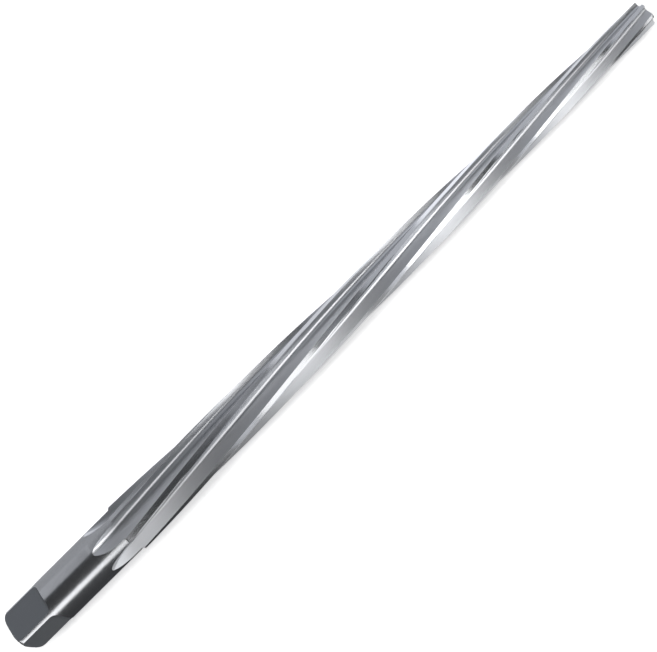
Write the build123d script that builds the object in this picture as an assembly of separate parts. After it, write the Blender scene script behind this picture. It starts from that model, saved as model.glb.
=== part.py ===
from build123d import *
import os
from math import asin, atan, atan2, cos, degrees, log, radians, sin, sqrt, tan

# Hand taper pin reamer, turned, milled and ground from one bar of tool steel.
# While it is made, the tool's axis is +X: the square drive starts at x = 0 and the tip is at
# the far end. Angles round the axis are counted from +Z towards +Y. All sizes are millimetres.

# Lengths along the axis
shank_length = 42.8
cutting_length = 207.2
square_length = 14.3

# Diameters and the square
shank_diameter = 14.8
large_end_diameter = 16.0
tip_diameter = 8.2
square_across_flats = 11.2
square_turn = 31.7

# Radius that the square's cutter leaves at the shoulders
shoulder_radius = 2.5

# Turned edges
shank_end_radius = 1.7
large_end_chamfer = 0.5
tip_chamfer = 0.15

# Centre holes that the tool is ground on: pilot diameter, mouth diameter, pilot depth
shank_centre_pilot = 2.0
shank_centre_mouth = 4.25
shank_centre_depth = 4.0
tip_centre_pilot = 1.0
tip_centre_mouth = 2.12
tip_centre_depth = 2.2
centre_angle = 60.0

# Flutes. The section sizes are those at the large end, and shrink with the taper.
flute_count = 6
helix_angle = 6.45
first_edge_turn = -26.3
land_width = 2.05
margin_width = 0.35
relief_angle = 6.0
core_diameter = 10.3
floor_radius = 1.5
cutter_radius = 22.5

# How finely a flute is made, and how far its cutter stands clear of the bar. The round floor
# is cut in narrow straight strips, which leave it within 0.04 mm of its radius.
floor_strips = 5
loft_twist_step = 11.0
run_out_steps = 6
cutter_overshoot = 2.5

full_turn = 360.0
overall_length = shank_length + cutting_length
shank_radius = shank_diameter / 2
large_end_radius = large_end_diameter / 2
tip_radius = tip_diameter / 2
core_radius = core_diameter / 2
taper_slope = (large_end_radius - tip_radius) / cutting_length
flute_pitch = full_turn / flute_count
floor_centre = core_radius + floor_radius
floor_lead = degrees(asin(floor_radius / floor_centre))


def cone_radius(x):
    """Radius of the taper at x, carried on past both ends of the cutting length."""
    return large_end_radius - taper_slope * (x - shank_length)


def helix_turn(x):
    """Turn of the flutes at x in degrees. A helix of one angle on a cone turns by a logarithm."""
    shrink = log(large_end_radius / cone_radius(x))
    return degrees(tan(radians(helix_angle)) / taper_slope * shrink)


def polar(radius, turn):
    """Point at a radius and an angle in degrees, in the plane of a section."""
    return Vector(radius * cos(radians(turn)), radius * sin(radians(turn)))


def turned_bar():
    """Shank, step and taper as one turned body: the shank's end is rounded, the rest chamfered."""
    tip_chamfer_radius = cone_radius(overall_length - tip_chamfer)
    outline = [
        (0, 0),
        (0, shank_radius),
        (shank_length, shank_radius),
        (shank_length, large_end_radius - large_end_chamfer),
        (shank_length + large_end_chamfer, cone_radius(shank_length + large_end_chamfer)),
        (overall_length - tip_chamfer, tip_chamfer_radius),
        (overall_length, tip_chamfer_radius - tip_chamfer),
        (overall_length, 0),
    ]
    half_section = make_face(Polyline(*outline, close=True))
    end_corner = half_section.vertices().sort_by_distance((0, shank_radius))[0]
    return revolve(fillet(end_corner, shank_end_radius), Axis.X, full_turn)


def centre_hole(pilot, mouth, depth):
    """Centre hole that opens at x = 0 and runs towards +X: a conical mouth and a blind pilot."""
    mouth_depth = (mouth - pilot) / 2 / tan(radians(centre_angle / 2))
    drill_point = pilot / 2 / tan(radians(centre_angle))
    outline = [
        (0, 0),
        (0, mouth / 2),
        (mouth_depth, pilot / 2),
        (depth, pilot / 2),
        (depth + drill_point, 0),
    ]
    return revolve(make_face(Polyline(*outline, close=True)), Axis.X, full_turn)


def square_drive_waste():
    """The four segments milled off the shank's end, which leave the square and round shoulders."""
    segment = Box(
        square_length,
        shank_diameter,
        shank_diameter,
        align=(Align.MIN, Align.CENTER, Align.MIN),
    )
    shoulder = segment.edges().filter_by(Axis.Y).sort_by(Axis.Z)[:2].sort_by(Axis.X)[-1]
    milled = Pos(Z=square_across_flats / 2) * fillet(shoulder, shoulder_radius)
    return [Rot(X=-square_turn - side * full_turn / 4) * milled for side in range(4)]


def flute_section(shrink, lift):
    """
    Section of the flute cutter, with the flute's floor on the local X axis.

    Round from the cutting edge's side: a radial rake face, the floor, the straight back up to
    the heel, and the relieved land, which carries on past the margin into the open.
    shrink is the taper's radius over that of the large end. lift is how far the cutter has
    climbed out at the run-out.
    """
    open_radius = large_end_radius + cutter_overshoot
    margin = degrees(margin_width / large_end_radius)
    land = degrees(land_width / large_end_radius)
    edge_behind = floor_lead - flute_pitch

    rake_top = polar(open_radius, floor_lead)
    rake_foot = polar(floor_centre * cos(radians(floor_lead)), floor_lead)

    heel_drop = large_end_radius * radians(land - margin) * tan(radians(relief_angle))
    heel = polar(large_end_radius - heel_drop, edge_behind + land)
    to_centre = Vector(floor_centre, 0) - heel
    back_length = sqrt(to_centre.length**2 - floor_radius**2)
    back_turn = degrees(atan2(to_centre.Y, to_centre.X) + asin(floor_radius / to_centre.length))
    back_foot = heel + polar(back_length, back_turn)

    round_floor = ThreePointArc(rake_foot, Vector(core_radius, 0), back_foot)
    floor = [round_floor @ (i / floor_strips) for i in range(floor_strips + 1)]

    margin_heel = polar(large_end_radius, edge_behind + margin)
    relief_way = polar(1, edge_behind + margin + 90 + relief_angle)
    relief_end = margin_heel - relief_way * (2 * margin_width)
    relief_top = polar(open_radius, edge_behind)

    outline = Polyline(rake_top, *floor, heel, relief_end, relief_top, close=True)
    return Pos(X=lift) * scale(make_face(outline), by=shrink)


def flute_stations():
    """Places along the axis where the cutter's section is set, from the run-out to the tip."""
    climb = shank_radius - core_radius + cutter_overshoot / 2
    run_out = sqrt(cutter_radius**2 - (cutter_radius - climb) ** 2)
    climbing = [shank_length - run_out * (1 - i / run_out_steps) for i in range(run_out_steps)]
    past_tip = overall_length + cutter_overshoot
    steps = 1 + int(abs(helix_turn(past_tip)) / loft_twist_step)
    span = past_tip - shank_length
    cutting = [shank_length + span * i / steps for i in range(steps + 1)]
    return climbing + cutting


def flute_cutter():
    """Solid that cuts one flute: its section carried along the helix and out through the shank."""
    sections = []
    for x in flute_stations():
        along = max(shank_length - x, 0)
        lift = cutter_radius - sqrt(cutter_radius**2 - along**2)
        plane = Plane(origin=(x, 0, 0), x_dir=(0, 0, 1), z_dir=(-1, 0, 0))
        turn = Rot(Z=first_edge_turn - floor_lead + helix_turn(x))
        sections.append(plane * turn * flute_section(cone_radius(x) / large_end_radius, lift))
    return loft(sections)


def reamer():
    """The finished tool, with its axis along +X and the square's end at x = 0."""
    bar = turned_bar()
    for segment in square_drive_waste():
        bar -= segment
    bar -= centre_hole(shank_centre_pilot, shank_centre_mouth, shank_centre_depth)
    tip_centre = centre_hole(tip_centre_pilot, tip_centre_mouth, tip_centre_depth)
    bar -= Pos(X=overall_length) * Rot(Z=full_turn / 2) * tip_centre
    cutter = flute_cutter()
    for i in range(flute_count):
        bar -= Rot(X=i * flute_pitch) * cutter
    return bar


def laid_down(tool):
    """Lay the tool on the lower side of its taper, with the middle of its length at the origin."""
    half_taper = atan(taper_slope)
    middle = overall_length / 2 * cos(half_taper)
    height = cone_radius(0) * cos(half_taper)
    return Pos(X=-middle, Z=height) * Rot(Y=degrees(half_taper)) * tool


os.makedirs("parts", exist_ok=True)
export_step(laid_down(reamer()), "parts/reamer.step")
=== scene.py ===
import logging
import math
from dataclasses import dataclass, field
from enum import IntEnum
from typing import Any, Mapping, Sequence, Union

import bmesh
import bpy
import numpy as np
from mathutils import Matrix, Vector


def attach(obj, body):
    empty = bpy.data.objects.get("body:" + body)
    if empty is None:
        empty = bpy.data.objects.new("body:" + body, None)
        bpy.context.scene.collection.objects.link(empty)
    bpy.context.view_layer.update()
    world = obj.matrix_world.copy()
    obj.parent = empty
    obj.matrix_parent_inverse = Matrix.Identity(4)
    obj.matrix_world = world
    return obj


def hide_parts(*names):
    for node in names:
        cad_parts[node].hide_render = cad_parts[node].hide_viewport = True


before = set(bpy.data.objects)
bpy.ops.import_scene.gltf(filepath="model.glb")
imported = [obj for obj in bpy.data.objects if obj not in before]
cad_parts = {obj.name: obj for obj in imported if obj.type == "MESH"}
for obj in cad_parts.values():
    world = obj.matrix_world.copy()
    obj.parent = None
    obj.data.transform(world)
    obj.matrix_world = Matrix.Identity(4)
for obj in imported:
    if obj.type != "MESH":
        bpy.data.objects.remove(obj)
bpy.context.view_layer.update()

# Looks for a hand taper pin reamer. Sizes of the tool are millimetres, counted from the shank's
# end along its own axis, and angles round the axis are degrees from +Z towards +Y. The finished
# mesh, the lights and the floor are in metres.

Array = np.ndarray
Number = Union[int, float]
Colour = tuple[float, float, float]
Settings = Mapping[Any, Any]
MM = 0.001
FULL_TURN = 360.0
QUARTER = FULL_TURN / 4

# A point this near the turned outline lies on it, in millimetres, and two points of the finished
# mesh this near become one, in metres
TOUCHING = 1e-9
WELD = 2e-7

log = logging.getLogger("reamer")


def crowded(start: float, end: float, count: int, power: float = 1.0) -> Array:
    """
    Places from start to end, crowded towards the start: start + (end - start) * share ** power.

    Args:
        start: first place.
        end: last place.
        count: number of steps, so one more place is given back.
        power: 1 spaces them evenly, and more crowds them at the start.

    Returns:
        The count + 1 places.
    """
    return start + (end - start) * np.linspace(0, 1, count + 1) ** power


def steps(start: float, end: float, count: int) -> Array:
    """Even places from start up to the last one before end."""
    return np.linspace(start, end, count + 1)[:-1]


def polar(radius: float, turn: float) -> Array:
    """Point at a radius, and at an angle in radians from the first axis."""
    return radius * np.array([math.cos(turn), math.sin(turn)])


def eased(share: float) -> float:
    """Share of a way, eased at both ends: three times its square less twice its cube."""
    return share * share * (3 - 2 * share)


def ring_faces(rows: int, columns: int) -> Array:
    """
    Faces of a grid whose rows close to rings: each takes in two columns of a row and of the next.

    Args:
        rows: number of rows of points.
        columns: number of points in a row.

    Returns:
        The four corners of each face, where the points are numbered row by row.
    """
    row, column = np.meshgrid(np.arange(rows - 1), np.arange(columns), indexing="ij")
    after = (column + 1) % columns
    corners = [row * columns + column, (row + 1) * columns + column]
    corners += [(row + 1) * columns + after, row * columns + after]
    return np.stack(corners, 2).reshape(-1, 4)


def crossing(run: Array, over: Array, inner: Array, outer: Array) -> Array:
    """
    Length along a curve at which it passes an outline, on the straight line between two samples.

    Args:
        run: length along the curve at each sample.
        over: how far each sample stands out past the outline, one row for each curve.
        inner: number of each row's sample just inside the outline.
        outer: number of the one just outside it, or the same number where there is none.

    Returns:
        The length for each row.
    """
    pick = np.arange(len(over))
    a, b = over[pick, inner], over[pick, outer]
    share = np.where(inner == outer, 0.0, a / np.where(a == b, 1.0, a - b))
    return run[inner] + (run[outer] - run[inner]) * np.clip(share, 0, 1)


def placed(name: str, data: bpy.types.ID) -> bpy.types.Object:
    """
    Put a mesh, a light or a camera into the scene.

    Args:
        name: the object's name.
        data: what it holds.

    Returns:
        The object.
    """
    made = bpy.data.objects.new(name, data)
    bpy.context.scene.collection.objects.link(made)
    return made


class Zone(IntEnum):
    """Part of the tool's skin that is finished in one way. The value is its material's place."""

    SHANK = 0
    MILLED = 1
    FLUTE = 2
    LAND = 3
    MARGIN = 4
    END = 5
    BACK = 6


@dataclass(frozen=True)
class CentreHole:
    """Centre hole that the tool is ground on: a conical mouth and a blind pilot."""

    pilot: float
    mouth: float
    depth: float
    angle: float = 60.0
    sharp_rings: tuple[int, ...] = (0, 2, 4)

    def profile(self) -> Array:
        """
        Depth and radius from the mouth to the drill point.

        The mouth, its foot and the pilot's foot are the sharp rings. The others lie half way
        between them.

        Returns:
            Rows of (depth, radius), with the mouth first and the point, of radius 0, last.
        """
        mouth_depth = (self.mouth - self.pilot) / 2 / math.tan(math.radians(self.angle / 2))
        point = self.pilot / 2 / math.tan(math.radians(self.angle))
        return np.array([
            (0.0, self.mouth / 2),
            (mouth_depth / 2, (self.mouth + self.pilot) / 4),
            (mouth_depth, self.pilot / 2),
            ((mouth_depth + self.depth) / 2, self.pilot / 2),
            (self.depth, self.pilot / 2),
            (self.depth + point, 0.0),
        ])


@dataclass(frozen=True)
class TurnedBar:
    """The bar as it leaves the lathe: shank, step and taper."""

    shank_length: float = 42.8
    cutting_length: float = 207.2
    shank_diameter: float = 14.8
    large_end_diameter: float = 16.0
    tip_diameter: float = 8.2
    shank_end_radius: float = 1.7
    large_end_chamfer: float = 0.5
    tip_chamfer: float = 0.15

    @property
    def length(self) -> float:
        """Whole length of the tool."""
        return self.shank_length + self.cutting_length

    @property
    def shank_radius(self) -> float:
        """Radius of the plain shank."""
        return self.shank_diameter / 2

    @property
    def large_end_radius(self) -> float:
        """Radius of the taper's large end."""
        return self.large_end_diameter / 2

    @property
    def slope(self) -> float:
        """How much the radius falls for each millimetre of taper."""
        return (self.large_end_diameter - self.tip_diameter) / 2 / self.cutting_length

    def cone_radius(self, x: Array) -> Array:
        """Radius of the taper at x, carried on past both its ends."""
        return self.large_end_radius - self.slope * (np.asarray(x) - self.shank_length)

    def radius(self, x: Array, on_taper: Array) -> Array:
        """
        Radius of the turned outline: shank with rounded end, or taper with chamfers.

        The rounding is a quarter circle, so its radius is the shank's less what the circle has
        not yet reached. A chamfer lets the radius grow by one for each millimetre from its end.

        Args:
            x: places along the axis.
            on_taper: true where the place belongs to the taper and not to the shank.

        Returns:
            The radius at each place.
        """
        rest = np.clip(self.shank_end_radius - x, 0, None)
        drop = self.shank_end_radius - np.sqrt(self.shank_end_radius**2 - rest**2)
        shank = self.shank_radius - drop
        step = self.large_end_radius - self.large_end_chamfer + (x - self.shank_length)
        tip_edge = self.cone_radius(self.length - self.tip_chamfer)
        tip = tip_edge - (x - (self.length - self.tip_chamfer))
        taper = np.minimum(np.minimum(self.cone_radius(x), step), tip)
        return np.where(on_taper, taper, shank)


@dataclass(frozen=True)
class SquareDrive:
    """The square that is milled on the shank's end."""

    length: float = 14.3
    across_flats: float = 11.2
    turn: float = 31.7
    shoulder_radius: float = 2.5
    flat_columns: int = 30
    corner_columns: int = 24

    def section(self, radius: float, start: int, columns: int) -> tuple[Array, Array]:
        """
        Section of the round bar with its four flats, as radius and angle.

        Columns on a flat stand evenly across it, where the angle is the arc tangent of the way
        across over the flat's distance. Those on a corner stand evenly round the bar.

        Args:
            radius: the bar's radius there.
            start: number of the first column, counted from the first flat's low edge.
            columns: number of columns.

        Returns:
            The radius and the angle in degrees of each column.
        """
        side = self.across_flats / 2
        corner = math.degrees(math.acos(min(side / radius, 1.0)))
        reach = math.tan(math.radians(corner))
        flat = np.degrees(np.arctan(steps(-reach, reach, self.flat_columns)))
        bend = steps(corner, QUARTER - corner, self.corner_columns)
        side_turn = np.concatenate([flat, bend])
        index = start + np.arange(columns)
        turn = side_turn[index % len(side_turn)] + QUARTER * (index // len(side_turn))
        milled = np.minimum(radius, side / self.cosine(turn))
        return milled, turn + self.turn

    def cosine(self, turn: Array) -> Array:
        """Cosine of the angle from the middle of the nearest flat, with turn counted from one."""
        away = np.mod(turn + QUARTER / 2, QUARTER) - QUARTER / 2
        return np.cos(np.radians(away))

    @property
    def straight(self) -> float:
        """Place where the flats end and the shoulders' round begins."""
        return self.length - self.shoulder_radius

    def shoulder(self, radius: float, turn: Array, share: float) -> tuple[Array, Array]:
        """
        Row across the shoulders, where the flats rise out of the round bar.

        A shoulder ends where its quarter circle meets the bar. The bar stands above the flat by
        its radius times the cosine, less the flat's own distance. A circle of radius r has
        climbed to height h at sqrt(r * r - (r - h) ** 2) along the tool.

        Args:
            radius: the bar's radius.
            turn: angle of each column in degrees.
            share: 0 where the flats end, and 1 where the shoulders meet the bar.

        Returns:
            The place along the tool and the radius of each column.
        """
        side = self.across_flats / 2
        cosine = self.cosine(turn - self.turn)
        height = np.clip(radius * cosine - side, 0, None)
        left = self.shoulder_radius - height
        reach = np.sqrt(self.shoulder_radius**2 - left**2) * share
        climbed = self.shoulder_radius - np.sqrt(self.shoulder_radius**2 - reach**2)
        return self.straight + reach, np.minimum(radius, (side + climbed) / cosine)

    def on_flat(self, start: int, columns: int) -> Array:
        """True for each column whose face, up to the next column, lies on a flat."""
        index = start + np.arange(columns)
        return index % (self.flat_columns + self.corner_columns) < self.flat_columns


@dataclass(frozen=True)
class Places:
    """Places along the axis, the turned radius at each, and whether it belongs to the taper."""

    x: Array
    outline: Array
    on_taper: Array


@dataclass(frozen=True)
class Flutes:
    """Helical flutes, and the teeth between them. Section sizes are those at the large end."""

    bar: TurnedBar
    count: int = 6
    helix_angle: float = 6.45
    first_edge_turn: float = -26.3
    land_width: float = 2.05
    margin_width: float = 0.35
    relief_angle: float = 6.0
    core_diameter: float = 10.3
    floor_radius: float = 1.5
    cutter_radius: float = 22.5
    halvings: int = 40
    margin_columns: int = 2
    relief_columns: int = 7
    back_columns: int = 9
    floor_columns: int = 10
    rake_columns: int = 8

    @property
    def pitch(self) -> float:
        """Angle from one tooth to the next."""
        return FULL_TURN / self.count

    @property
    def floor_centre(self) -> float:
        """Radius on which the round of the floor has its centre."""
        return self.core_diameter / 2 + self.floor_radius

    @property
    def floor_lead(self) -> float:
        """Angle from the flute's floor to its cutting edge."""
        return math.degrees(math.asin(self.floor_radius / self.floor_centre))

    @property
    def margin(self) -> float:
        """Angle round the large end that the margin takes up, in radians."""
        return self.margin_width / self.bar.large_end_radius

    @property
    def land(self) -> float:
        """Angle round the large end that a tooth's outer face takes up, in radians."""
        return self.land_width / self.bar.large_end_radius

    @property
    def heel_radius(self) -> float:
        """Radius of a tooth's heel: the relief falls by its own arc times the angle's tangent."""
        arc = self.bar.large_end_radius * (self.land - self.margin)
        return self.bar.large_end_radius - arc * math.tan(math.radians(self.relief_angle))

    @property
    def land_columns(self) -> int:
        """Columns on a tooth's outer face."""
        return self.margin_columns + self.relief_columns

    @property
    def flute_columns(self) -> int:
        """Columns in a flute, from heel to cutting edge."""
        return self.back_columns + self.floor_columns + self.rake_columns

    @property
    def columns(self) -> int:
        """Columns round the whole tool."""
        return self.count * (self.land_columns + self.flute_columns)

    def turn(self, x: Array) -> Array:
        """Turn of the helix at x. On a cone it grows with the logarithm of the radius ratio."""
        shrunk = np.log(self.bar.large_end_radius / self.bar.cone_radius(x))
        return np.degrees(math.tan(math.radians(self.helix_angle)) / self.bar.slope * shrunk)

    def shrink(self, x: Array) -> Array:
        """Size of the section at x, as a share of its size at the large end."""
        return self.bar.cone_radius(x) / self.bar.large_end_radius

    def lift(self, x: Array) -> Array:
        """How far the round cutter has climbed out at x: its radius less what is left of it."""
        along = np.clip(self.bar.shank_length - x, 0, None)
        return self.cutter_radius - np.sqrt(self.cutter_radius**2 - along**2)

    def run_out_start(self) -> float:
        """
        Place where the cutter first touches the shank, found by halving the stretch.

        Returns:
            The place along the axis.
        """
        high = self.bar.shank_length
        low = high - self.cutter_radius / 2
        for _ in range(self.halvings):
            middle = (low + high) / 2
            floor = self.core_diameter / 2 * self.shrink(middle) + self.lift(np.array(middle))
            if floor > self.bar.shank_radius:
                low = middle
            else:
                high = middle
        return high

    def curve(self, samples: int = 400) -> tuple[Array, Array, Array]:
        """
        The flute's outline at the large end, with its floor on the first axis.

        It runs from the heel down the straight back, round the floor's arc, which both straight
        lines touch, and up the radial rake face to the cutting edge.

        Args:
            samples: points on each of the three stretches.

        Returns:
            The length run so far, the points, and the length at which each column stands.
        """
        centre = np.array([self.floor_centre, 0.0])
        heel = polar(self.heel_radius, math.radians(self.floor_lead - self.pitch) + self.land)
        way = centre - heel
        distance = float(np.hypot(*way))
        back_turn = math.atan2(way[1], way[0]) + math.asin(self.floor_radius / distance)
        back_length = math.sqrt(distance**2 - self.floor_radius**2)
        back_foot = heel + polar(back_length, back_turn)
        from_centre = back_foot - centre
        arc_start = math.atan2(from_centre[1], from_centre[0]) % (2 * math.pi)
        lead = math.radians(self.floor_lead)
        arc_end = math.pi / 2 + lead
        arc = np.linspace(arc_start, arc_end, samples)
        floor = centre + self.floor_radius * np.stack([np.cos(arc), np.sin(arc)], 1)
        edge = polar(self.bar.large_end_radius, lead)
        share = np.linspace(0, 1, samples)[:, None]
        back = heel + (back_foot - heel) * share
        rake = floor[-1] + (edge - floor[-1]) * share
        points = np.concatenate([back, floor[1:], rake[1:]])
        run = np.concatenate([[0.0], np.cumsum(np.hypot(*np.diff(points, axis=0).T))])
        floor_end = back_length + self.floor_radius * (arc_start - arc_end)
        stands = np.concatenate([
            steps(0, back_length, self.back_columns),
            steps(back_length, floor_end, self.floor_columns),
            np.linspace(floor_end, run[-1], self.rake_columns + 1),
        ])
        return run, points, stands

    def land_radius(self, angle: Array) -> Array:
        """
        Radius of a tooth's outer face at the large end.

        The margin is round. Behind it the relief is the straight line from the margin's heel to
        the tooth's heel, and its radius follows from the line's distance from the axis.

        Args:
            angle: degrees behind the cutting edge.

        Returns:
            The radius at each angle.
        """
        radius = self.bar.large_end_radius
        turn = np.radians(angle)
        start, end = polar(radius, self.margin), polar(self.heel_radius, self.land)
        normal = np.array([end[1] - start[1], start[0] - end[0]])
        normal = normal / np.hypot(*normal)
        distance = float(normal @ start)
        relief = distance / (normal[0] * np.cos(turn) + normal[1] * np.sin(turn))
        return np.where(turn <= self.margin, radius, relief)

    def flute_rows(self, places: Places) -> tuple[Array, Array]:
        """
        One flute in each section, from heel to cutting edge, with angles counted from its floor.

        The flute's outline is scaled with the taper and lifted by the cutter. The part of it
        that lies inside the turned outline is found on the dense curve, and the columns are
        shared out over that part. Where none of it does, they all stand where it comes nearest.

        Args:
            places: where the sections are.

        Returns:
            The radius and the angle in degrees, one row for each place.
        """
        run, points, stands = self.curve()
        outline = places.outline[:, None]
        shrink, lift = self.shrink(places.x)[:, None], self.lift(places.x)[:, None]
        reach = np.hypot(shrink * points[:, 0] + lift, shrink * points[:, 1])
        over = reach - outline - TOUCHING
        inside = over < 0
        first = inside.argmax(1)
        last = len(run) - 1 - inside[:, ::-1].argmax(1)
        outside = ~inside.any(1)
        nearest = run[over.argmin(1)]
        start = crossing(run, over, first, np.clip(first - 1, 0, None))
        end = crossing(run, over, last, np.clip(last + 1, None, len(run) - 1))
        start, end = np.where(outside, nearest, start), np.where(outside, nearest, end)
        length = start[:, None] + (end - start)[:, None] * stands / run[-1]
        out = shrink * np.interp(length, run, points[:, 0]) + lift
        across = shrink * np.interp(length, run, points[:, 1])
        radius = np.where(outside[:, None], outline, np.hypot(out, across))
        return radius, np.degrees(np.arctan2(across, out))

    def tooth_rows(self, places: Places, edge: Array, heel: Array) -> tuple[Array, Array]:
        """
        One tooth's outer face in each section, from cutting edge to heel.

        On the taper its columns stand closer on the margin, and it has the relief. On the shank
        it is plainly round.

        Args:
            places: where the sections are.
            edge: angle of the cutting edge in each section, one column.
            heel: angle of the heel in each section, one column.

        Returns:
            The radius and the angle in degrees, one row for each place.
        """
        margin_share = self.margin_width / self.land_width
        formed = np.concatenate([
            steps(0, margin_share, self.margin_columns),
            steps(margin_share, 1, self.relief_columns),
        ])
        outline, on_taper = places.outline[:, None], places.on_taper[:, None]
        turn = edge + (heel - edge) * np.where(on_taper, formed, steps(0, 1, self.land_columns))
        behind = turn - (self.floor_lead - self.pitch)
        relieved = self.shrink(places.x)[:, None] * self.land_radius(behind)
        return np.where(on_taper, np.minimum(relieved, outline), outline), turn

    def rows(self, places: Places) -> tuple[Array, Array]:
        """
        Sections of the fluted bar, where the teeth take up what is left between two flutes.

        Args:
            places: where the sections are.

        Returns:
            The radius and the angle in degrees, one row for each place.
        """
        radius, turn = self.flute_rows(places)
        face_radius, face_turn = self.tooth_rows(places, turn[:, -1:] - self.pitch, turn[:, :1])
        radius = np.tile(np.concatenate([face_radius, radius[:, :-1]], 1), self.count)
        tooth = np.concatenate([face_turn, turn[:, :-1]], 1)
        turn = np.concatenate([tooth + k * self.pitch for k in range(self.count)], 1)
        helix = self.first_edge_turn - self.floor_lead + self.turn(places.x)
        return radius, turn + helix[:, None]


@dataclass
class Skin:
    """The tool's skin while it is laid out: a grid of rows along the tool and columns round it."""

    x: list[Array] = field(default_factory=list)
    radius: list[Array] = field(default_factory=list)
    turn: list[Array] = field(default_factory=list)
    zone: list[Array] = field(default_factory=list)
    hard: list[bool] = field(default_factory=list)

    def add(
        self, x: Union[float, Array], radius: Array, turn: Array, zone: Array, hard: bool = False
    ) -> None:
        """
        Add one row.

        Args:
            x: place along the axis, one for the whole row or one for each column.
            radius: radius of each column.
            turn: angle of each column in degrees.
            zone: zone of the faces between this row and the next.
            hard: whether the row is a sharp edge all round.
        """
        self.x.append(np.broadcast_to(np.asarray(x, float), len(radius)))
        self.radius.append(np.asarray(radius, float))
        self.turn.append(np.asarray(turn, float))
        self.zone.append(np.asarray(zone, int))
        self.hard.append(hard)


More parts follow.
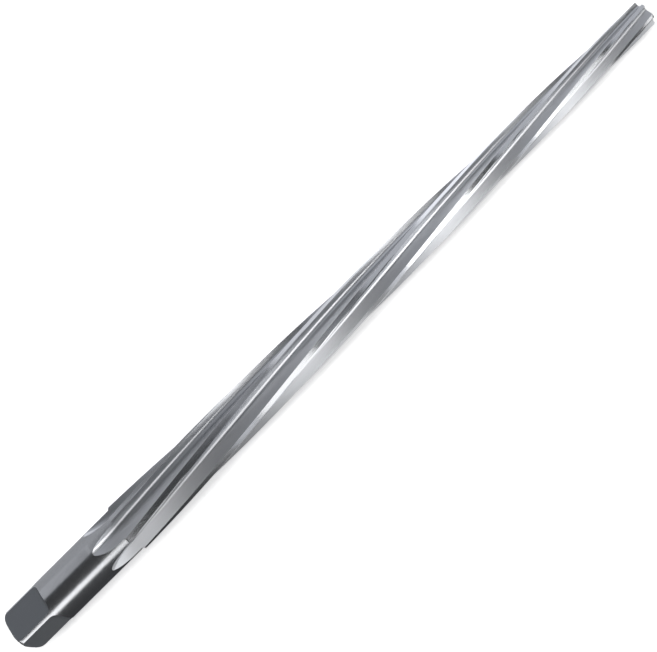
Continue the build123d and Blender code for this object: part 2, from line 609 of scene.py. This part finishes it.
@dataclass
class Reamer:
    """The reamer itself: one piece of steel, ground, fluted and squared."""

    bar: TurnedBar = TurnedBar()
    drive: SquareDrive = SquareDrive()
    shank_centre: CentreHole = CentreHole(pilot=2.0, mouth=4.25, depth=4.0)
    tip_centre: CentreHole = CentreHole(pilot=1.0, mouth=2.12, depth=2.2)
    step_slant: float = 0.02
    rounding_crowding: float = 1.6
    run_out_crowding: float = 1.8
    rounding_rows: int = 12
    flat_rows: int = 12
    shoulder_rows: int = 8
    shank_rows: int = 16
    run_out_rows: int = 44
    taper_rows: int = 290
    face_rows: int = 4

    def __post_init__(self) -> None:
        """Cut the flutes in this bar."""
        self.flutes = Flutes(self.bar)

    def matched_start(self, target: float) -> int:
        """
        Number of the square's column that stands nearest to an angle on the full bar.

        Args:
            target: the angle in degrees.

        Returns:
            The column's number.
        """
        columns = self.flutes.columns
        _, turn = self.drive.section(self.bar.shank_radius, -columns, 2 * columns)
        return int(np.abs(turn - target).argmin()) - columns

    def end_face(
        self, skin: Skin, hole: CentreHole, at_tip: bool, radius: Array, turn: Array
    ) -> None:
        """
        Face and centre hole of one end, as rows from the outline inwards or the other way.

        Each column runs straight from its place on the outline to the mouth of the hole, where
        the columns stand half way between their outer angle and an even spacing. Points of the
        face are complex numbers, the radius times e to the power of i times the angle.

        Args:
            skin: the skin that gets the rows.
            hole: the centre hole.
            at_tip: true at the tip, where the rows run inwards.
            radius: radius of the outline's columns.
            turn: angle of the outline's columns in degrees.
        """
        columns = len(radius)
        even = np.arange(columns) * FULL_TURN / columns
        inner_turn = (turn + even + np.mean(turn - even)) / 2
        end = np.full(columns, Zone.END)
        outer = radius * np.exp(1j * np.radians(turn))
        inner = hole.mouth / 2 * np.exp(1j * np.radians(inner_turn))
        rows = []
        for share in steps(0, 1, self.face_rows)[1:]:
            point = outer + (inner - outer) * share
            rows.append((0.0, np.abs(point), np.degrees(np.unwrap(np.angle(point))), False))
        for ring, (depth, reach) in enumerate(hole.profile()):
            sharp = ring in hole.sharp_rings
            rows.append((depth, np.full(columns, reach), inner_turn, sharp))
        for depth, reach, angle, hard in rows if at_tip else reversed(rows):
            x = self.bar.length - depth if at_tip else depth
            skin.add(x, reach, angle, end, hard)

    def shank(self, skin: Skin) -> None:
        """
        Square drive and plain shank, up to the place where the flutes run out.

        Past the square the columns slide round the bar, from where the square's corners need
        them to where the flutes need them, by the eased share of the way along.

        Args:
            skin: the skin that gets the rows.
        """
        columns, full = self.flutes.columns, self.bar.shank_radius
        run_out = self.flutes.run_out_start()
        first_cut = Places(np.array([run_out]), np.array([full]), np.array([False]))
        _, fluted = self.flutes.rows(first_cut)
        start = self.matched_start(fluted[0, 0])
        milled = np.where(self.drive.on_flat(start, columns), Zone.MILLED, Zone.SHANK)
        round_off = self.bar.shank_end_radius
        places = [
            *crowded(0, round_off, self.rounding_rows, self.rounding_crowding)[:-1],
            *crowded(round_off, self.drive.straight, self.flat_rows)[:-1],
        ]
        outline = self.bar.radius(np.array(places), np.full(len(places), False))
        radius, turn = self.drive.section(outline[0], start, columns)
        self.end_face(skin, self.shank_centre, False, radius, turn)
        for x, reach in zip(places, outline):
            radius, turn = self.drive.section(reach, start, columns)
            skin.add(x, radius, turn, milled, x == 0)
        for share in steps(0, 1, self.shoulder_rows):
            x, radius = self.drive.shoulder(full, turn, share)
            skin.add(x, radius, turn, milled)
        x, _ = self.drive.shoulder(full, turn, 1.0)
        plain = np.full(columns, Zone.SHANK)
        for share in steps(0, 1, self.shank_rows):
            slid = turn + (fluted[0] - turn) * eased(share)
            skin.add(x + (run_out - x) * share, np.full(columns, full), slid, plain)

    def fluted_length(self, skin: Skin) -> None:
        """
        Run-outs, step, taper and tip.

        Args:
            skin: the skin that gets the rows.
        """
        flutes, bar = self.flutes, self.bar
        start, step = flutes.run_out_start(), bar.shank_length - self.step_slant
        chamfered = bar.shank_length + bar.large_end_chamfer
        tip_edge = bar.length - bar.tip_chamfer
        run_out = crowded(start, step, self.run_out_rows, self.run_out_crowding)
        taper = crowded(chamfered, tip_edge, self.taper_rows)
        x = np.concatenate([run_out, [bar.shank_length], taper, [bar.length]])
        on_taper = x >= bar.shank_length
        radius, turn = flutes.rows(Places(x, bar.radius(x, on_taper), on_taper))
        tooth = [Zone.MARGIN] * flutes.margin_columns + [Zone.LAND] * flutes.relief_columns
        back = [Zone.BACK] * flutes.back_columns
        cut = back + [Zone.FLUTE] * (flutes.floor_columns + flutes.rake_columns)
        on_shank = np.array(([Zone.SHANK] * flutes.land_columns + cut) * flutes.count)
        on_cone = np.array((tooth + cut) * flutes.count)
        face = np.full(flutes.columns, Zone.END)
        hard = {step, bar.shank_length, chamfered, tip_edge, bar.length}
        for place, at in enumerate(x):
            zone = on_cone if at >= bar.shank_length else on_shank
            last = place == len(x) - 1
            skin.add(at, radius[place], turn[place], face if last else zone, at in hard)
        self.end_face(skin, self.tip_centre, True, radius[-1], turn[-1])

    def laid_down(self, points: Array) -> Array:
        """
        Lay points of the tool down as the frame has it: on the lower side of its taper.

        The axis is turned by the half angle of the taper, the middle of the length comes over
        the origin, and the tool is raised by the cone's radius at the shank's end.

        Args:
            points: points with the axis along +X, in millimetres.

        Returns:
            The points in the frame, in metres.
        """
        half = math.atan(self.bar.slope)
        x, y, z = points.T
        height = float(self.bar.cone_radius(0.0)) * math.cos(half)
        middle = self.bar.length / 2 * math.cos(half)
        along = x * math.cos(half) + z * math.sin(half) - middle
        return np.stack([along, y, z * math.cos(half) - x * math.sin(half) + height], 1) * MM

    def build(self, materials: Mapping[Zone, bpy.types.Material]) -> bpy.types.Object:
        """
        Make the piece: one closed mesh whose grid follows every edge of the tool.

        Args:
            materials: the material of each zone.

        Returns:
            The finished object.
        """
        skin = Skin()
        self.shank(skin)
        self.fluted_length(skin)
        x, radius, turn = np.array(skin.x), np.array(skin.radius), np.radians(np.array(skin.turn))
        grid = np.stack([x, radius * np.sin(turn), radius * np.cos(turn)], 2)
        zones = np.array(skin.zone)[:-1].reshape(-1)

        mesh = bpy.data.meshes.new("reamer_steel")
        faces = ring_faces(len(grid), self.flutes.columns)
        mesh.from_pydata(self.laid_down(grid.reshape(-1, 3)), [], faces)
        for zone in Zone:
            mesh.materials.append(materials[zone])
        mesh.polygons.foreach_set("material_index", zones.astype(np.int32))
        mesh.polygons.foreach_set("use_smooth", np.ones(len(zones), bool))
        self.lay_map(mesh, skin, zones)
        self.mark_edges(mesh, skin)
        welded = bmesh.new()
        welded.from_mesh(mesh)
        bmesh.ops.remove_doubles(welded, verts=welded.verts, dist=WELD)
        welded.to_mesh(mesh)
        welded.free()
        mesh.validate()
        return placed("reamer_steel", mesh)

    def lay_map(self, mesh: bpy.types.Mesh, skin: Skin, zones: Array) -> None:
        """
        Write the map that the grinding lines follow, in millimetres.

        The first value is the way along the turned profile, the same all round each row, so
        that lines across it are true rings. The second is the way round: on the bar it is angle
        times shank radius, and in a flute it is the length along the flute's own section, the
        same all along a column, so that lines follow the helix.

        Args:
            mesh: the mesh that gets the map.
            skin: the rows.
            zones: zone of each face.
        """
        flutes = self.flutes
        step_x = np.diff(np.array(skin.x)[:, 0])
        step_r = np.diff(np.array(skin.radius).mean(1))
        along = np.concatenate([[0.0], np.cumsum(np.hypot(step_x, step_r))])
        _, _, stands = flutes.curve()
        land = steps(0, flutes.land_width, flutes.land_columns)
        tooth = np.concatenate([land, flutes.land_width + stands[:-1]])
        width = flutes.land_width + stands[-1]
        teeth = [tooth + k * width for k in range(flutes.count)]
        section = np.concatenate([*teeth, [flutes.count * width]])
        turn = np.radians(np.array(skin.turn))
        turn = np.concatenate([turn, turn[:, :1] + 2 * math.pi], 1)
        around = turn * self.bar.shank_radius
        row, column = np.divmod(np.arange(len(zones)), flutes.columns)
        u = np.stack([along[row], along[row + 1], along[row + 1], along[row]], 1)
        bar_v = [around[row, column], around[row + 1, column]]
        bar_v += [around[row + 1, column + 1], around[row, column + 1]]
        cut_v = [section[column], section[column], section[column + 1], section[column + 1]]
        follows = np.isin(zones, (Zone.BACK, Zone.FLUTE, Zone.LAND, Zone.MARGIN))[:, None]
        v = np.where(follows, np.stack(cut_v, 1), np.stack(bar_v, 1))
        layer = mesh.uv_layers.new(name="lay")
        layer.uv.foreach_set("vector", np.stack([u, v], 2).astype(np.float32).reshape(-1))

    def mark_edges(self, mesh: bpy.types.Mesh, skin: Skin) -> None:
        """
        Mark the sharp edges: wherever two zones meet, and all round the rows that are hard.

        Args:
            mesh: the mesh whose edges are marked.
            skin: the rows.
        """
        columns = self.flutes.columns
        ends = np.zeros(len(mesh.edges) * 2, np.int32)
        mesh.edges.foreach_get("vertices", ends)
        row, column = ends.reshape(-1, 2) // columns, ends.reshape(-1, 2) % columns
        zone = np.array(skin.zone)
        first = row.min(1)
        beside = zone[first, (column[:, 0] - 1) % columns] != zone[first, column[:, 0]]
        step = (column[:, 1] - column[:, 0]) % columns
        start = np.where(step == 1, column[:, 0], column[:, 1])
        behind = zone[np.clip(first - 1, 0, None), start] != zone[first, start]
        ring = row[:, 0] == row[:, 1]
        hard = np.array(skin.hard)[first]
        mesh.edges.foreach_set("use_edge_sharp", np.where(ring, hard | behind, beside))

    def dress(self) -> bpy.types.Object:
        """
        Build the reamer with its finishes and give it to the frame.

        Returns:
            The finished piece.
        """
        piece = self.build({zone: finish.material() for zone, finish in FINISHES.items()})
        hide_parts("reamer")
        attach(piece, "root")
        return piece


Operand = Union["Value", Number]


class MixSocket(IntEnum):
    """Sockets of a Mix node that are used where it mixes colours. Some share their names."""

    SHARE = 0
    LOW = 6
    HIGH = 7
    RESULT = 2


class Value:
    """A number inside a material, so that shader maths reads as plain expressions."""

    def __init__(self, nodes: "Nodes", socket: bpy.types.NodeSocket) -> None:
        """Wrap a socket of a node tree."""
        self.nodes = nodes
        self.socket = socket

    def maths(self, operation: str, first: Operand, second: Operand) -> "Value":
        """Result of one Math node on two operands."""
        return self.nodes.add("ShaderNodeMath", {"operation": operation}, {0: first, 1: second})

    def __add__(self, other: Operand) -> "Value":
        """This plus other, either way round."""
        return self.maths("ADD", self, other)

    __radd__ = __add__

    def __sub__(self, other: Operand) -> "Value":
        """This less other."""
        return self.maths("SUBTRACT", self, other)

    def __rsub__(self, other: Operand) -> "Value":
        """Other less this."""
        return self.maths("SUBTRACT", other, self)

    def __mul__(self, other: Operand) -> "Value":
        """This times other, either way round."""
        return self.maths("MULTIPLY", self, other)

    __rmul__ = __mul__

    def kept(self, low: float, high: float) -> "Value":
        """This, kept between low and high."""
        return self.maths("MINIMUM", self.maths("MAXIMUM", self, low), high)


class Nodes:
    """Node tree of one material."""

    def __init__(self, name: str) -> None:
        """
        Start a material with nothing but its output and its surface shader.

        Args:
            name: the material's name.
        """
        self.material = bpy.data.materials.new(name)
        self.material.use_nodes = True
        self.tree = self.material.node_tree
        self.surface = self.tree.nodes["Principled BSDF"]

    def put(self, node: bpy.types.Node, inputs: Settings) -> None:
        """
        Set or link sockets of a node.

        Args:
            node: the node.
            inputs: socket names or numbers, with values or links.
        """
        for key, value in inputs.items():
            socket = node.inputs[key]
            if isinstance(value, Value):
                self.tree.links.new(value.socket, socket)
            else:
                socket.default_value = value

    def add(
        self, kind: str, settings: Settings, inputs: Settings, output: Union[int, str] = 0
    ) -> Value:
        """
        Add one node.

        Args:
            kind: the node's type.
            settings: the node's own settings, set first.
            inputs: values or links of its sockets.
            output: the socket to give back.

        Returns:
            That socket, wrapped.
        """
        node = self.tree.nodes.new(kind)
        for key, value in settings.items():
            setattr(node, key, value)
        self.put(node, inputs)
        return Value(self, node.outputs[output])

    def lay(self, along: float, around: float) -> Value:
        """
        Place on the piece's own map, stretched so that a pattern becomes lines.

        Args:
            along: scale of the map's first value, along the profile, for each millimetre.
            around: scale of its second value, round the tool, for each millimetre.

        Returns:
            The stretched place.
        """
        place = self.add("ShaderNodeUVMap", {"uv_map": "lay"}, {})
        return self.add("ShaderNodeMapping", {}, {"Vector": place, "Scale": (along, around, 1.0)})

    def noise(self, place: Value, detail: float) -> Value:
        """Noise at a place, from 0 to 1, in as many sizes as the detail says."""
        inputs = {"Vector": place, "Scale": 1.0, "Detail": detail}
        return self.add("ShaderNodeTexNoise", {}, inputs, "Fac")

    def between(self, share: Value, low: Colour, high: Colour) -> Value:
        """Colour that lies a share of the way from low to high."""
        inputs = {MixSocket.SHARE: share, MixSocket.LOW: (*low, 1.0), MixSocket.HIGH: (*high, 1.0)}
        return self.add("ShaderNodeMix", {"data_type": "RGBA"}, inputs, MixSocket.RESULT)


@dataclass(frozen=True)
class Grain:
    """
    Lines and clouds that grinding, milling or turning leaves.

    Their scales are for each millimetre, along the profile and round the tool: a small scale
    one way and a large one the other makes lines. The bump is how strongly the lines show as
    relief, and the relief is its depth in metres.
    """

    lines: tuple[float, float]
    clouds: tuple[float, float]
    bump: float = 0.2
    line_detail: float = 3.0
    cloud_detail: float = 2.0
    line_share: float = 0.55
    cloud_share: float = 0.45
    relief: float = 0.00002


@dataclass(frozen=True)
class SteelFinish:
    """Finish of one kind of steel surface."""

    name: str
    tint: Colour
    roughness: float
    grain: Grain
    darkest: float = 0.9
    rough_spread: float = 0.1
    smoothest: float = 0.03
    roughest: float = 0.95

    def material(self) -> bpy.types.Material:
        """
        Make the material.

        Lines are noise stretched one way on the piece's map, and clouds are a softer and larger
        noise. Both shift roughness and colour a little: roughness is the finish's own plus its
        spread times the noise about its middle, and the colour lies between the tint and its
        darkest share.

        Returns:
            The finished material.
        """
        nodes, grain = Nodes(self.name), self.grain
        lines = nodes.noise(nodes.lay(*grain.lines), grain.line_detail)
        clouds = nodes.noise(nodes.lay(*grain.clouds), grain.cloud_detail)
        mixed = (lines * grain.line_share + clouds * grain.cloud_share).kept(0.0, 1.0)
        roughness = self.roughness + (mixed - 0.5) * self.rough_spread
        dark = tuple(part * self.darkest for part in self.tint)
        relief = {"Strength": grain.bump, "Distance": grain.relief, "Height": lines}
        nodes.put(nodes.surface, {
            "Base Color": nodes.between(mixed, dark, self.tint),
            "Metallic": 1.0,
            "Roughness": roughness.kept(self.smoothest, self.roughest),
            "Normal": nodes.add("ShaderNodeBump", {}, relief),
        })
        return nodes.material


SHANK_GRAIN = Grain(lines=(14.0, 0.3), clouds=(1.2, 0.4))
MILLED_GRAIN = Grain(lines=(5.0, 3.0), clouds=(1.6, 1.6), bump=0.4)
FLUTE_GRAIN = Grain(lines=(0.12, 12.0), clouds=(0.1, 2.0))
LAND_GRAIN = Grain(lines=(0.15, 12.0), clouds=(0.1, 2.0))
MARGIN_GRAIN = Grain(lines=(12.0, 0.5), clouds=(0.6, 0.4))
END_GRAIN = Grain(lines=(9.0, 0.3), clouds=(1.0, 0.6), bump=0.4)
FINISHES = {
    Zone.SHANK: SteelFinish("ground_shank", (0.64, 0.65, 0.67), 0.22, SHANK_GRAIN),
    Zone.MILLED: SteelFinish(
        "milled_square", (0.3, 0.315, 0.335), 0.6, MILLED_GRAIN, darkest=0.8, rough_spread=0.15
    ),
    Zone.FLUTE: SteelFinish("ground_flute", (0.62, 0.63, 0.65), 0.3, FLUTE_GRAIN),
    Zone.LAND: SteelFinish("ground_land", (0.67, 0.68, 0.7), 0.19, LAND_GRAIN),
    Zone.MARGIN: SteelFinish(
        "ground_margin", (0.66, 0.67, 0.69), 0.16, MARGIN_GRAIN, darkest=0.95, rough_spread=0.08
    ),
    Zone.END: SteelFinish(
        "turned_end", (0.5, 0.51, 0.53), 0.32, END_GRAIN, darkest=0.85, rough_spread=0.15
    ),
    Zone.BACK: SteelFinish("ground_back", (0.62, 0.63, 0.65), 0.48, FLUTE_GRAIN),
}


@dataclass(frozen=True)
class PhotoCamera:
    """
    The camera of the photograph. It looks across the tool from above.

    It stands at a height over a place of the axis, turned from above round the axis by the side
    turn and shifted across it. It is tilted to look a little towards the shank, and rolled so
    that the tool lies across the picture from lower left to upper right.
    """

    reamer: Reamer
    side_turn: float = 2.7
    place: float = 135.34
    height: float = 290.0
    tilt: float = 2.0
    roll: float = 44.834
    shift: float = 0.33
    focal_pixels: float = 1019.0
    picture_width: float = 657.0
    sensor: float = 36.0
    nearest: float = 0.01
    farthest: float = 20.0

    def axes(self) -> tuple[Vector, Vector, Vector]:
        """
        The tool's directions as the camera sees them.

        Returns:
            Along the axis, across it towards the upper left of the picture, and to the camera.
        """
        half = math.atan(self.reamer.bar.slope)
        side = math.radians(self.side_turn)
        along = Vector((math.cos(half), 0.0, -math.sin(half)))
        above = Vector((math.sin(half), 0.0, math.cos(half)))
        towards = above * math.cos(side) + Vector((0.0, 1.0, 0.0)) * math.sin(side)
        return along, towards.cross(along), towards

    def build(self) -> bpy.types.Object:
        """
        Make the camera.

        Its right and back are the tool's own directions, turned by the tilt about the line
        across the tool, and its right and up are then turned by the roll about its back.

        Returns:
            The camera.
        """
        along, across, towards = self.axes()
        tilt, roll = math.radians(self.tilt), math.radians(self.roll)
        flat_right = along * math.cos(tilt) - towards * math.sin(tilt)
        back = towards * math.cos(tilt) + along * math.sin(tilt)
        right = flat_right * math.cos(roll) - across * math.sin(roll)
        up = flat_right * math.sin(roll) + across * math.cos(roll)
        data = bpy.data.cameras.new("photo_camera")
        data.sensor_width = self.sensor
        data.lens = self.focal_pixels / self.picture_width * self.sensor
        data.clip_start, data.clip_end = self.nearest, self.farthest
        camera = placed("photo_camera", data)
        turned = Matrix((right, up, back)).transposed().to_4x4()
        below = Vector(self.reamer.laid_down(np.array([[self.place, 0.0, 0.0]]))[0])
        stand = below + towards * self.height * MM + across * self.shift * MM
        camera.matrix_world = Matrix.Translation(stand) @ turned
        bpy.context.scene.camera = camera
        return camera


NEUTRAL = (1.0, 1.0, 1.0)
COOL = (0.97, 0.99, 1.04)
COOLER = (0.95, 0.98, 1.05)


@dataclass(frozen=True)
class SoftBox:
    """
    A flat light that runs beside the tool.

    Its angle is counted round the tool, from the side that the camera sees towards the upper
    left of the picture. Its breadth is the angle that it fills, seen from the tool, and it
    reaches from start to end along the tool, in metres from the origin towards the tip.
    """

    name: str
    angle: float
    breadth: float
    glow: float
    start: float
    end: float
    tint: Colour = NEUTRAL
    distance: float = 0.9
    on_floor: bool = False

    def build(self, camera_turn: float) -> bpy.types.Object:
        """
        Make the light, which shows in the steel alone or on the floor alone.

        An area light of a given radiance has a power of radiance times area times pi, so its
        look in the steel stays the same whatever its size. A breadth seen from a distance is
        twice that distance times the tangent of half the breadth.

        Args:
            camera_turn: turn of the camera round the tool, from above towards +Y, in degrees.

        Returns:
            The light.
        """
        data = bpy.data.lights.new(self.name, "AREA")
        data.shape = "RECTANGLE"
        data.size = self.end - self.start
        data.size_y = 2 * self.distance * math.tan(math.radians(self.breadth / 2))
        data.energy = self.glow * data.size * data.size_y * math.pi
        data.color = self.tint
        light = placed(self.name, data)
        turn = math.radians(camera_turn + self.angle)
        out = Vector((0.0, math.sin(turn), math.cos(turn)))
        right = Vector((1.0, 0.0, 0.0))
        turned = Matrix((right, out.cross(right), out)).transposed().to_4x4()
        middle = out * self.distance + right * ((self.start + self.end) / 2)
        light.matrix_world = Matrix.Translation(middle) @ turned
        light.visible_camera = False
        light.visible_glossy = not self.on_floor
        light.visible_diffuse = self.on_floor
        return light


# The boxes stand round the tool: strips towards the lower right of the picture, with low boxes
# under them, tops beside the camera, panels and hazes towards the upper left, and sides under
# those. Each kind follows on along the tool, with a glow of its own for each stretch. The key
# box stands farther off and lights the floor alone.
SOFT_BOXES = (
    SoftBox("shank_strip", angle=-40.0, breadth=21.0, glow=1.75, start=-5.0, end=-0.37),
    SoftBox("neck_strip", angle=-40.0, breadth=21.0, glow=0.6, start=-0.37, end=-0.22),
    SoftBox("shank_panel", angle=56.0, breadth=46.0, glow=0.52, start=-5.0, end=-0.38, tint=COOL),
    SoftBox("shank_side", angle=129.5, breadth=101.0, glow=0.37, start=-5.0, end=-0.38, tint=COOL),
    SoftBox("neck_panel", angle=110.0, breadth=120.0, glow=0.2, start=-0.38, end=-0.22, tint=COOL),
    SoftBox("middle_strip", angle=-37.5, breadth=45.0, glow=1.5, start=-0.22, end=0.035),
    SoftBox("tip_strip", angle=-43.5, breadth=37.0, glow=2.7, start=0.035, end=0.38),
    SoftBox("tip_top", angle=-13.5, breadth=23.0, glow=2.6, start=0.14, end=0.27),
    SoftBox("end_top", angle=-4.5, breadth=41.0, glow=1.9, start=0.34, end=0.46),
    SoftBox("far_strip", angle=-42.5, breadth=35.0, glow=1.2, start=0.38, end=5.0),
    SoftBox("low_haze", angle=-71.0, breadth=18.0, glow=0.75, start=-0.22, end=0.38, tint=COOL),
    SoftBox("middle_haze", angle=35.0, breadth=90.0, glow=0.37, start=-0.16, end=0.02, tint=COOLER),
    SoftBox("tip_haze", angle=55.0, breadth=54.0, glow=0.58, start=0.02, end=5.0, tint=COOLER),
    SoftBox("middle_side", angle=131.0, breadth=98.0, glow=0.85, start=-0.22, end=0.04, tint=COOL),
    SoftBox("tip_side", angle=131.0, breadth=98.0, glow=1.35, start=0.04, end=0.38, tint=COOL),
    SoftBox("far_side", angle=131.0, breadth=98.0, glow=0.7, start=0.38, end=5.0, tint=COOL),
    SoftBox("low_panel", angle=-140.0, breadth=80.0, glow=0.75, start=-0.22, end=5.0),
    SoftBox("back_box", angle=-90.0, breadth=20.0, glow=0.35, start=-0.22, end=0.38),
    SoftBox(
        "key_box", angle=13.0, breadth=15.0, glow=5.3, start=-3.0, end=3.0,
        distance=3.0, on_floor=True,
    ),
)


@dataclass(frozen=True)
class Studio:
    """Pale floor, pale backdrop and soft light."""

    camera_turn: float
    surround: Colour = (0.05, 0.051, 0.053)
    paper: float = 0.9
    paper_roughness: float = 0.9
    paper_glow: float = 0.62
    backdrop_glow: float = 0.85
    floor_radius: float = 6.0
    rim_points: int = 96
    dome_columns: int = 64
    dome_rows: int = 16
    boxes: Sequence[SoftBox] = SOFT_BOXES

    def paper_material(self, name: str, colour: float, glow: float) -> bpy.types.Material:
        """
        Plain paper.

        Its glow is left out of the light sampling, since nothing in the scene is lit by it.

        Args:
            name: the material's name.
            colour: how light the paper is.
            glow: how much light it gives off by itself.

        Returns:
            The material.
        """
        nodes = Nodes(name)
        nodes.put(nodes.surface, {
            "Base Color": (colour, colour, colour, 1.0),
            "Roughness": self.paper_roughness,
            "Specular IOR Level": 0.0,
            "Emission Color": (*NEUTRAL, 1.0),
            "Emission Strength": glow,
        })
        nodes.material.cycles.emission_sampling = "NONE"
        return nodes.material

    def floor(self) -> bpy.types.Object:
        """
        Round sheet of white paper that the tool lies on.

        It is kept out of the steel's reflections, and it stands in the way of no light.

        Returns:
            The floor.
        """
        mesh = bpy.data.meshes.new("floor")
        turn = steps(0, 2 * math.pi, self.rim_points)
        rim = self.floor_radius * np.stack([np.cos(turn), np.sin(turn), 0 * turn], 1)
        mesh.from_pydata(rim, [], [list(range(len(rim)))])
        mesh.materials.append(self.paper_material("white_paper", self.paper, self.paper_glow))
        floor = placed("floor", mesh)
        floor.visible_glossy = False
        floor.visible_shadow = False
        return floor

    def backdrop(self) -> bpy.types.Object:
        """
        Pale dome over the floor, which only the camera sees.

        It is a half ball: radius times the cosine of the height angle outwards, and times its
        sine upwards.

        Returns:
            The backdrop.
        """
        rises = np.linspace(0, math.pi / 2, self.dome_rows + 1)
        turn, rise = np.meshgrid(steps(0, 2 * math.pi, self.dome_columns), rises)
        dome = [np.cos(rise) * np.cos(turn), np.cos(rise) * np.sin(turn), np.sin(rise)]
        points = self.floor_radius * np.stack(dome, 2)
        mesh = bpy.data.meshes.new("backdrop")
        mesh.from_pydata(points.reshape(-1, 3), [], ring_faces(*turn.shape))
        mesh.materials.append(self.paper_material("backdrop_paper", 0.0, self.backdrop_glow))
        backdrop = placed("backdrop", mesh)
        backdrop.visible_glossy = False
        backdrop.visible_diffuse = False
        return backdrop

    def build(self) -> None:
        """Set up floor, backdrop, surround and lights."""
        for made in (self.floor(), self.backdrop()):
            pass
        world = bpy.data.worlds.new("surround")
        world.use_nodes = True
        world.node_tree.nodes["Background"].inputs["Color"].default_value = (*self.surround, 1.0)
        bpy.context.scene.world = world
        bpy.context.scene.view_settings.view_transform = "Standard"
        for box in self.boxes:
            box.build(self.camera_turn)


def main() -> None:
    """Build the camera, the studio and the reamer, in that order."""
    logging.basicConfig(level=logging.INFO)
    reamer = Reamer()
    camera = PhotoCamera(reamer)
    camera.build()
    Studio(camera.side_turn).build()
    piece = reamer.dress()
    log.info("%s: %d faces", piece.name, len(piece.data.polygons))


if __name__ == "__main__":
    main()
